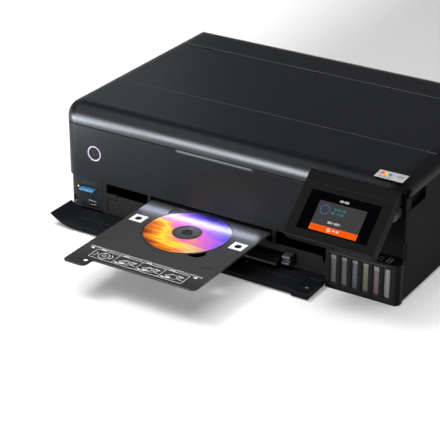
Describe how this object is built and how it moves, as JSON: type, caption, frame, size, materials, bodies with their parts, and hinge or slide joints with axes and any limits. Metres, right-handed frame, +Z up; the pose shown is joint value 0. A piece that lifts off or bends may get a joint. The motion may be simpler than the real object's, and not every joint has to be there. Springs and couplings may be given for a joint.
{
  "type": "disc label printer",
  "caption": "Desktop ink-tank printer in use: label-printing disc tray run out, front flap down, touch panel tilted up, flat scanner lid closed.",
  "frame": {"origin": "centre of the whole machine's footprint on the table, with disc tray and flap out", "axes": "+X to the printer's right as its user faces it from the front, +Y to its back, +Z up"},
  "size_m": [0.536, 0.582, 0.169],
  "materials": {
    "charcoal": "fine satin grain",
    "charcoal_gloss": "polished",
    "front_dark": "satin",
    "tray_grey": "satin",
    "inner_black": "matt",
    "rubber": "matt",
    "pale_grey": "satin",
    "steel": "brushed",
    "glass": "clear",
    "screen": "glossy",
    "ring_white": "lit",
    "led": "lit",
    "card_blue": "satin",
    "disc_print": "printed",
    "ink_grey": "translucent",
    "pad_white": "foam",
    "port_metal": "bright"
  },
  "bodies": {
    "printer": {"base_pan": "inner_black", "card_bezel": "front_dark", "card_led": "led", "carriage_motor": "steel", "carriage_rail": "steel", "disc_guide": "inner_black", "drive_belt": "rubber", "feed_frame": "inner_black", "front_panel": "front_dark", "ink_tank_1": "ink_grey", "ink_tank_2": "ink_grey", "ink_tank_3": "ink_grey", "ink_tank_4": "ink_grey", "ink_tank_5": "ink_grey", "ink_tank_6": "ink_grey", "inner_deck": "inner_black", "lift_bar": "front_dark", "mech_frame": "steel", "panel_bay": "inner_black", "platen": "inner_black", "power_inlet": "inner_black", "power_ring": "ring_white", "rear_cover": "charcoal", "rubber_feet": "rubber", "side_cover_left": "charcoal", "side_cover_right": "charcoal", "slot_frame": "inner_black", "star_wheel_bar": "inner_black", "tank_caps": "inner_black", "tank_deck": "charcoal", "tank_housing": "charcoal", "top_beam": "inner_black", "usb_port": "port_metal"},
    "power_button": {"power_button": "inner_black"},
    "memory_card": {"memory_card": "card_blue"},
    "front_flap": {"front_flap": "charcoal"},
    "cassette": {"cassette": "inner_black", "cassette_face": "front_dark"},
    "output_tray": {"output_tray": "front_dark", "tray_hook": "pale_grey"},
    "disc_tray": {"disc_tray": "tray_grey", "disc_hub": "tray_grey"},
    "disc": {"disc": "disc_print"},
    "control_panel": {"panel_shell": "charcoal_gloss", "panel_glass": "screen", "panel_back": "inner_black", "panel_arm": "pale_grey"},
    "scanner_unit": {"scanner_frame": "inner_black", "scanner_glass": "glass"},
    "lid": {"lid": "charcoal", "lid_pad": "pad_white"},
    "scan_bar": {"scan_bar": "inner_black"},
    "rear_feed_cover": {"rear_feed_cover": "charcoal"},
    "edge_guide_left": {"edge_guide_left": "pale_grey"},
    "edge_guide_right": {"edge_guide_right": "pale_grey"},
    "carriage": {"carriage": "inner_black"},
    "drive_pulley": {"drive_pulley": "inner_black"},
    "feed_roller": {"feed_roller": "rubber"},
    "eject_roller": {"eject_roller": "rubber"}
  },
  "joints": [
    {"name": "power_press", "type": "slide", "parent": "printer", "child": "power_button", "axis": [0, 1, 0], "range_m": [0, 0.0015], "stiffness_N_per_m": 400},
    {"name": "card_pull", "type": "slide", "parent": "printer", "child": "memory_card", "axis": [0, -1, 0], "range_m": [0, 0.02]},
    {"name": "flap_hinge", "type": "hinge", "parent": "printer", "child": "front_flap", "pos_m": [0.0045, -0.0845, 0.006], "axis": [-1, 0, 0], "range_deg": [0, 14]},
    {"name": "cassette_slide", "type": "slide", "parent": "printer", "child": "cassette", "axis": [0, 1, 0], "range_m": [-0.18, 0]},
    {"name": "stacker_slide", "type": "slide", "parent": "cassette", "child": "output_tray", "axis": [0, 1, 0], "range_m": [-0.045, 0]},
    {"name": "disc_tray_slide", "type": "slide", "parent": "printer", "child": "disc_tray", "axis": [0, -1, 0], "range_m": [-0.15, 0.05]},
    {"name": "disc_lift", "type": "slide", "parent": "disc_tray", "child": "disc", "axis": [0, 0, 1], "range_m": [0, 0.006]},
    {"name": "panel_tilt", "type": "hinge", "parent": "printer", "child": "control_panel", "pos_m": [0.0045, -0.08, 0.1581], "axis": [1, 0, 0], "range_deg": [-15, 48.6]},
    {"name": "scanner_lift", "type": "hinge", "parent": "printer", "child": "scanner_unit", "pos_m": [0.0045, 0.1978, 0.167], "axis": [-1, 0, 0], "range_deg": [0, 20]},
    {"name": "lid_open", "type": "hinge", "parent": "scanner_unit", "child": "lid", "pos_m": [0.0045, 0.1978, 0.167], "axis": [-1, 0, 0], "range_deg": [0, 75]},
    {"name": "scan_bar_slide", "type": "slide", "parent": "scanner_unit", "child": "scan_bar", "axis": [1, 0, 0], "range_m": [0, 0.265]},
    {"name": "feed_cover_open", "type": "hinge", "parent": "printer", "child": "rear_feed_cover", "pos_m": [0.0045, 0.2889, 0.13], "axis": [-1, 0, 0], "range_deg": [0, 75]},
    {"name": "edge_left", "type": "slide", "parent": "printer", "child": "edge_guide_left", "axis": [1, 0, 0], "range_m": [0, 0.06]},
    {"name": "edge_right", "type": "slide", "parent": "printer", "child": "edge_guide_right", "axis": [-1, 0, 0], "range_m": [0, 0.06]},
    {"name": "carriage_slide", "type": "slide", "parent": "printer", "child": "carriage", "axis": [1, 0, 0], "range_m": [-0.262, 0]},
    {"name": "pulley_spin", "type": "hinge", "parent": "printer", "child": "drive_pulley", "pos_m": [-0.1875, 0.08, 0.11], "axis": [0, 0, 1], "continuous": true},
    {"name": "feed_spin", "type": "hinge", "parent": "printer", "child": "feed_roller", "pos_m": [0.0045, 0.077, 0.0413], "axis": [1, 0, 0], "continuous": true},
    {"name": "eject_spin", "type": "hinge", "parent": "printer", "child": "eject_roller", "pos_m": [0.0045, -0.004, 0.0433], "axis": [1, 0, 0], "continuous": true}
  ],
  "couplings": [
    {"joint": "pulley_spin", "follows": "carriage_slide", "rad_per_m": 114.94},
    {"joint": "eject_spin", "follows": "feed_spin", "ratio": 1.3333},
    {"joint": "edge_right", "follows": "edge_left", "ratio": 1}
  ]
}
